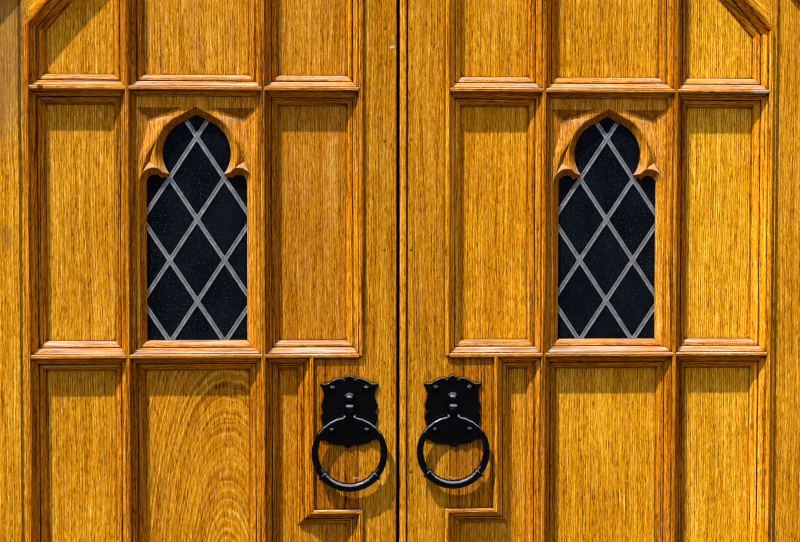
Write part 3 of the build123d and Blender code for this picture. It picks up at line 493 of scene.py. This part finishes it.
for side, hand in hands.items():
    plug_marks = [
        spot(plug_x[side], height, plug_half_width, plug_half_height, plug_colour, 0.9)
        for height in plug_heights[side]
    ]
    # A painted highlight at the upper left edge of each plug.
    plug_marks += [
        spot(plug_x[side] - lit_shift, height + lit_shift, lit_size, lit_size, plug_lit_colour, 0.8)
        for height in plug_heights[side]
    ]
    # A dark line where the moulding meets the stile, both a joint and painted shade.
    joint_shade_line = spot(hand * joint_shade_x, joint_shade_middle, 0.0036, joint_shade_half_height, (0.050, 0.018, 0.004), 0.80)
    hinge_oak = oak(
        side + "_hinge_stile_oak", seed=3.1 + hand, pith=hand * 0.3, tint=hinge_tints[side],
        marks=stile_stains_and_shadow[side] + [joint_shade_line],
    )
    meeting_oak = oak(
        side + "_meeting_stile_oak", seed=4.3 + hand, pith=hand * -0.4, tint=stile_tint,
        stain=0.10, marks=plug_marks + chips[side],
    )
    finish(side + "_hinge_stile", [hinge_oak])
    finish(side + "_meeting_stile", [meeting_oak])
    finish(side + "_head_rail", [oak(side + "_head_rail_oak", side + "_arch", seed=5.2 + hand)])
    finish(side + "_bottom_rail", [oak(side + "_bottom_rail_oak", "across", seed=6.1 + hand)])

# Bead beside the gap
# A quarter-round oak strip, pinned along the right leaf's meeting edge beside the gap. It is
# paler than the stile that it stands on.
bead_oak = oak("meeting_bead_oak", seed=7.7, tone=0.05, tint=(1.05, 0.98, 1.4), stain=0.10)
finish("right_meeting_bead", [bead_oak])

# Lock blocks
# The short wide members that carry the handles, tenoned into the meeting stiles, darker inside
# the rings and dented where the rings fall.
dent_colour, inside_ring_colour = (0.80, 0.56, 0.30), (0.26, 0.085, 0.006)
ring_foot_x = {"right": 0.0901, "left": -0.0863}
for side, hand in hands.items():
    foot = ring_foot_x[side]
    dents = [
        spot(foot - 0.004, 0.9262, 0.0075, 0.0022, dent_colour, 0.42),
        spot(foot + 0.006, 0.9242, 0.0060, 0.0018, dent_colour, 0.36),
        spot(foot, 0.975, 0.045, 0.060, inside_ring_colour, 0.35),
    ]
    block_oak = oak(
        side + "_lock_block_oak", seed=8.4 + hand, tone=-0.03, tint=(0.66, 0.55, 0.7), stain=0.36,
        marks=dents,
    )
    finish(side + "_lock_block", [block_oak])

# Mullions and transoms
# The moulded bars between the panels, tenoned into the framing. The mullions run through, the
# transoms are in three lengths. Rain and sun have bleached what faces upwards. One sill has a
# knot, one a grey patch.
columns = (0.26, 0.507)
worn_edge = 0.0012
sill_marks = [
    spot(-0.6635, 1.6472, 0.0075, 0.0060, (0.030, 0.010, 0.004), 0.9),
    spot(0.668, 1.6475, 0.024, 0.0080, (0.42, 0.35, 0.28), 0.6),
]


def column_of(middle):
    """The column of a leaf that a face lies in, counted from the gap."""
    return sum(abs(middle.x) >= edge for edge in columns)


# Their sides get painted shade where they face away from the key light and painted light where they
# face it.
for side, hand in hands.items():
    for name, seed in (("outer", 9.3), ("inner", 10.9)):
        mullion_oak = oak(
            side + "_" + name + "_mullion_oak", seed=seed + hand, tone=-0.05,
            tint=(0.82, 0.75, 1.1), rounded=worn_edge, weather=0.5, shady=1.0, stain=0.34,
        )
        finish(side + "_" + name + "_mullion", [mullion_oak])
    for name, seed, weather, marks in (
        ("upper", 12.1, 0.80, sill_marks),
        ("middle", 13.7, 1.10, ()),
    ):
        lengths = [
            oak(
                side + "_" + name + "_transom_oak_" + str(place), "across",
                seed=seed + hand + 0.37 * place, tint=(0.88, 0.82, 1.0), weather=weather,
                shady=0.9, stain=0.32, rounded=worn_edge, marks=marks,
            )
            for place in range(3)
        ]
        finish(side + "_" + name + "_transom", lengths, column_of)

# Planted mouldings
# Oak strips of the same section pinned round the frame of each leaf and round its lock block, and
# mitred at every corner. A dark line along their outer edge beside the hinge stiles is both a joint
# and painted shade, and the right leaf's strips are painted lighter and the left leaf's darker, as
# the key light falls on their sides.
first_nose, block_nose, fourth_nose = 0.080, 0.171, 0.687
bottom_nose_height, block_nose_height = 0.200, 0.8635
# The right leaf's strips are painted lighter and the left leaf's darker, as the key light falls on
# their sides.
strip_lit_and_shaded_tints = {"right": (1.04, 1.0, 0.9), "left": (0.94, 0.86, 0.9)}
outer_edge_x = 0.6985


def frame_strip(middle):
    """0 for the strips along the stiles, 1 for the one on the bottom rail."""
    across = abs(middle.x)
    up = middle.z - bottom_nose_height
    return 1 if up < across - first_nose and up < fourth_nose - across else 0


def block_strip(middle):
    """0 for the strip beside the lock block, 1 for the one under it."""
    return 0 if abs(middle.x) - block_nose > block_nose_height - middle.z else 1


for side, hand in hands.items():
    # Painted shade and a joint line along the strips' outer edge.
    edge_joint_shade = spot(
        hand * outer_edge_x, joint_shade_middle, 0.0034, joint_shade_half_height, (0.070, 0.024, 0.005), 0.70
    )
    # Painted light: the right uprights are a little lighter again than the left.
    upright_oak = oak(
        side + "_upright_moulding_oak", seed=15.5 + hand, tone=0.03 + 0.04 * hand,
        tint=strip_lit_and_shaded_tints[side], shady=1.0, stain=0.40, rounded=worn_edge, marks=[edge_joint_shade],
    )
    level_oak = oak(
        side + "_level_moulding_oak", "across", seed=16.9 + hand, tone=-0.04,
        tint=strip_lit_and_shaded_tints[side], weather=0.6, shady=0.8, stain=0.30,
    )
    arch_oak = oak(
        side + "_arch_moulding_oak", side + "_arch", seed=18.2 + hand, tone=-0.06,
        tint=strip_lit_and_shaded_tints[side], shady=0.8, stain=0.30,
    )
    finish(side + "_frame_mouldings", [upright_oak, level_oak], frame_strip)
    finish(side + "_block_mouldings", [upright_oak, level_oak], block_strip)
    finish(side + "_arch_moulding", [arch_oak])

# Panels
# Eight thin oak boards to a leaf, loose in their grooves. Each is cut from another part of the
# tree, so each has its own figure: they run straight, but one of the low ones shows arches, and
# those beside the right hinge stile have stronger rings.
panel_tints = {
    "left_upper": ((0.78, 0.76, 1.3), (0.90, 0.93, 1.6), (0.90, 0.95, 1.3)),
    "left_middle": ((0.74, 0.70, 1.2), (0.92, 0.98, 1.5)),
    "left_lower": ((0.80, 0.76, 1.0), (0.85, 0.83, 1.0), (0.90, 0.92, 1.0)),
    "right_upper": ((0.92, 0.95, 1.0), (0.95, 1.00, 1.1), (1.06, 1.15, 1.1)),
    "right_middle": ((0.97, 0.97, 0.85), (1.05, 1.14, 1.0)),
    "right_lower": ((0.85, 0.82, 1.0), (1.00, 1.04, 1.0), (1.04, 1.12, 1.0)),
}
row_seeds = {"upper": 0.0, "middle": 5.0, "lower": 9.0}
arched_figure = {"pith": -0.328, "heart": 0.70, "cone": 0.30, "rings": (0.0056, 0.15)}
strong_rings = {"rings": (0.0040, 0.26)}


def board_of(row):
    """The window takes the place of the middle board in the middle row."""
    if row == "middle":
        return lambda middle: min(column_of(middle), 1)
    return column_of


for side, hand in hands.items():
    for row, row_seed in row_seeds.items():
        tints = panel_tints[side + "_" + row]
        boards = []
        for place, tint in enumerate(tints):
            seed = 20.0 + 1.31 * place + row_seed + 2.2 * hand
            figure = {}
            if side == "left" and row == "lower" and place == 1:
                figure = arched_figure
            if side == "right" and place == len(tints) - 1:
                figure = strong_rings
            name = side + "_" + row + "_panel_oak_" + str(place)
            boards.append(oak(name, seed=seed, tint=tint, **figure))
        finish(side + "_" + row + "_panels", boards, board_of(row))

# Tracery boards
# The carved oak heads of the windows, in front of the leading. Each is in two halves with a
# joint under the point, scribed over the mouldings round it.
window_middle = 0.3835
for side, hand in hands.items():
    # The carving's facets get painted shade below and painted shade along their edges and creases.
    halves = [
        oak(
            side + "_tracery_oak_" + str(place), seed=40.2 + hand + place, weather=0.5,
            tint=(0.92, 0.88, 1.6), sheltered=0.004, carved=True, rounded=0.0028,
        )
        for place in range(2)
    ]
    finish(side + "_tracery", halves, lambda middle: 0 if abs(middle.x) < window_middle else 1)

# Leaded lights
# Diamond panes of glass in grey lead cames, soldered where they cross and held from behind
# by oak beads. The glass is painted near-black as the shade of the dark room behind it. A shallow
# groove runs along the middle of each came, and the cames are painted dark at their edges and
# along the groove as shade.
first_crossing, half_pane, half_drop, half_came = 1.559, 0.0505, 0.07625, 0.0045
shadow_colour = (0.022, 0.022, 0.024)
patina_colours = (
    (0.30, (0.105, 0.105, 0.107)),
    (0.55, (0.185, 0.185, 0.185)),
    (0.75, (0.32, 0.315, 0.31)),
)
lead = bpy.data.materials.new("weathered_lead")
net = Net(lead)
patina = net.noise(net.place, 70.0, 4.0, 0.65)
fine = net.noise(net.place, 500.0)
x, _, z = net.parts(net.place)
sideways = net.math("SUBTRACT", net.math("ABSOLUTE", x), window_middle)
upwards = net.math("SUBTRACT", z, first_crossing)
diagonal = math.hypot(half_pane, half_drop)
spacing = 2 * half_pane * half_drop / diagonal
reaches = []
for slant in (1, -1):
    level = net.math("MULTIPLY", sideways, half_drop / diagonal)
    beside = net.math("MULTIPLY_ADD", upwards, slant * half_pane / diagonal, level)
    reaches.append(net.math("PINGPONG", beside, spacing / 2))
nearest = net.math("MINIMUM", *reaches)
farther = net.math("MAXIMUM", *reaches)
ridge = net.between(nearest, 0.0, 0.5 * half_came)
fall = net.between(nearest, 0.80 * half_came, 1.02 * half_came, 1.0, 0.0)
crown = net.math("MULTIPLY", net.math("MULTIPLY_ADD", ridge, 0.42, 0.58), fall)
solder = net.between(farther, 0.8 * half_came, 1.9 * half_came, 1.0, 0.0)
crown = net.math("MAXIMUM", crown, net.math("MULTIPLY", solder, 0.95))
came_colour = net.mix(crown, shadow_colour, net.ramp(patina, *patina_colours))
came_bump = net.bump(fine, 0.25, 0.0004, net.bump(crown, 1.0, 0.0016))
came_roughness = net.between(patina, 0.3, 0.7, 0.60, 0.38)
net.surface(came_colour, came_roughness, shine=0.10, normal=came_bump)
net.shader.inputs["Metallic"].default_value = 0.10

dust_colour = (0.10, 0.11, 0.12)
# Near-black, as painted shade of the dark room behind the glass.
film_colours = ((0.35, (0.0018, 0.0026, 0.0040)), (0.70, (0.0050, 0.0075, 0.0120)))
pane = bpy.data.materials.new("glass_painted_dark")
net = Net(pane)
speck = net.between(net.noise(net.place, 420.0, 1.0), 0.64, 0.71)
film = net.noise(net.place, (14.0, 14.0, 9.0), 3.0, 0.6)
glass_colour = net.ramp(film, *film_colours)
glass_colour = net.mix(net.math("MULTIPLY", speck, 0.6), glass_colour, dust_colour)
net.surface(glass_colour, net.between(film, 0.3, 0.7, 0.06, 0.16), shine=0.06)
for side in hands:
    finish(side + "_window_leads", [lead])
    finish(side + "_window_glass", [pane])
    finish(side + "_sash_beads", [oak(side + "_sash_bead_oak", seed=44.0)])

# Ring handles
# Black forged iron: a cut plate with worn edges and a domed boss, four faceted studs that nail it
# to the lock block, the staple that bulges over the ring's journal, and the ring.
iron_colours = ((0.35, (0.0003, 0.0003, 0.0005)), (0.70, (0.0010, 0.0011, 0.0017)))


def black_iron(name, worn_radius):
    """Forged iron blacked and oiled, dappled by the hammer. Its edges shine where they are worn
    round to the given radius."""
    material = bpy.data.materials.new(name)
    net = Net(material)
    dapple = net.noise(net.place, 110.0)
    tooth = net.noise(net.place, 900.0)
    blows = net.bump(dapple, 0.30, 0.0010, net.worn_normal(worn_radius, samples=6))
    roughness = net.between(dapple, 0.3, 0.7, 0.12, 0.22)
    relief = net.bump(tooth, 0.12, 0.0002, blows)
    net.surface(net.ramp(dapple, *iron_colours), roughness, shine=0.14, normal=relief)
    return material


iron = black_iron("black_iron", 0.0015)
plate_iron = black_iron("plate_iron", 0.0048)
for side in hands:
    for piece in ("handle_studs", "handle_staple", "ring"):
        finish(side + "_" + piece, [iron])
    finish(side + "_handle_plate", [plate_iron])

staple_x = {"right": 0.090, "left": -0.102}
strap_back, strap_head_front, strap_foot_front = -0.0295, -0.0500, -0.0548
strap_head_width, strap_foot_width = 0.0190, 0.0180
strap_head_height, strap_foot_height = 1.0670, 1.0325
strap_rounding = 0.0062
straps = []
for side in hands:
    bpy.ops.object.select_all(action="DESELECT")
    bpy.ops.mesh.primitive_cube_add(size=1, location=(0, 0, 0))
    strap = bpy.context.object
    strap.name = side + "_forged_staple"
    for corner in strap.data.vertices:
        across, out, up = corner.co
        at_head = up > 0
        front = strap_head_front if at_head else strap_foot_front
        width = strap_head_width if at_head else strap_foot_width
        corner.co.x = staple_x[side] + across * width
        corner.co.y = strap_back if out > 0 else front
        corner.co.z = strap_head_height if at_head else strap_foot_height
    bpy.ops.object.mode_set(mode="EDIT")
    bpy.ops.mesh.select_all(action="SELECT")
    bpy.ops.mesh.bevel(offset=strap_rounding, segments=5, affect="EDGES", profile=0.5)
    bpy.ops.object.mode_set(mode="OBJECT")
    strap.data.materials.append(iron)
    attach(strap, side + "_leaf")
    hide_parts(side + "_handle_staple")
    straps.append(strap)

# Draught strip
# A thin black felt glued to the back arris of the left leaf, which keeps light and wind out of
# the gap when both leaves are shut. Its black is also painted shade: it keeps the gap as dark as
# the room behind it.
strip_middle_x, strip_thickness = -0.01152, 0.0006
strip_middle_y, strip_depth = 0.0240, 0.0020
strip_foot, strip_head = 0.030, 2.362
felt_colours = ((0.3, (0.002, 0.002, 0.002)), (0.7, (0.007, 0.007, 0.007)))
gap_shade_felt = bpy.data.materials.new("black_felt_gap_shade")
net = Net(gap_shade_felt)
felt_colour = net.ramp(net.noise(net.place, 900.0), *felt_colours)
net.surface(felt_colour, roughness=1.0, shine=0.0)
bpy.ops.object.select_all(action="DESELECT")
bpy.ops.mesh.primitive_cube_add(size=1, location=(0, 0, 0))
strip = bpy.context.object
strip.name = "left_draught_strip_and_gap_shade"
for corner in strip.data.vertices:
    corner.co = (
        strip_middle_x + corner.co.x * strip_thickness,
        strip_middle_y + corner.co.y * strip_depth,
        strip_foot if corner.co.z < 0 else strip_head,
    )
bpy.ops.object.mode_set(mode="EDIT")
bpy.ops.mesh.select_all(action="SELECT")
bpy.ops.mesh.subdivide(number_cuts=2)
bpy.ops.object.mode_set(mode="OBJECT")
strip.data.materials.append(gap_shade_felt)
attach(strip, "left_leaf")

# Inner ironwork
# Band hinges, their bolts and pintles, and the two bolts of the left leaf with their guides and
# keep, forged, screwed on and painted dull black.
paint_colours = ((0.3, (0.010, 0.010, 0.012)), (0.7, (0.022, 0.022, 0.024)))
inner_iron = bpy.data.materials.new("painted_iron")
net = Net(inner_iron)
brush = net.noise(net.place, (220.0, 220.0, 60.0), 3.0)
paint_colour = net.ramp(brush, *paint_colours)
net.surface(paint_colour, roughness=0.55, shine=0.5, normal=net.bump(brush, 0.3, 0.0006))
for node in nodes:
    if "bolt" in node or "hinge_bands" in node or node == "pintles":
        finish(node, [inner_iron])

# Smoothing
# Round and moulded work is shaded round, so that the CAD's facets don't show. Carving, studs and
# panels keep their facets, and the forged staples are rounded all over.
faceted = ("tracery", "studs", "panels")
for angle, chosen in (
    (32, [node for name, node in nodes.items() if not name.endswith(faceted)]),
    (9, [node for name, node in nodes.items() if name.endswith(faceted)]),
    (60, straps),
):
    bpy.ops.object.select_all(action="DESELECT")
    for piece in chosen:
        piece.data.shade_smooth()
        piece.select_set(True)
    bpy.context.view_layer.objects.active = chosen[0]
    bpy.ops.object.shade_smooth_by_angle(angle=math.radians(angle))
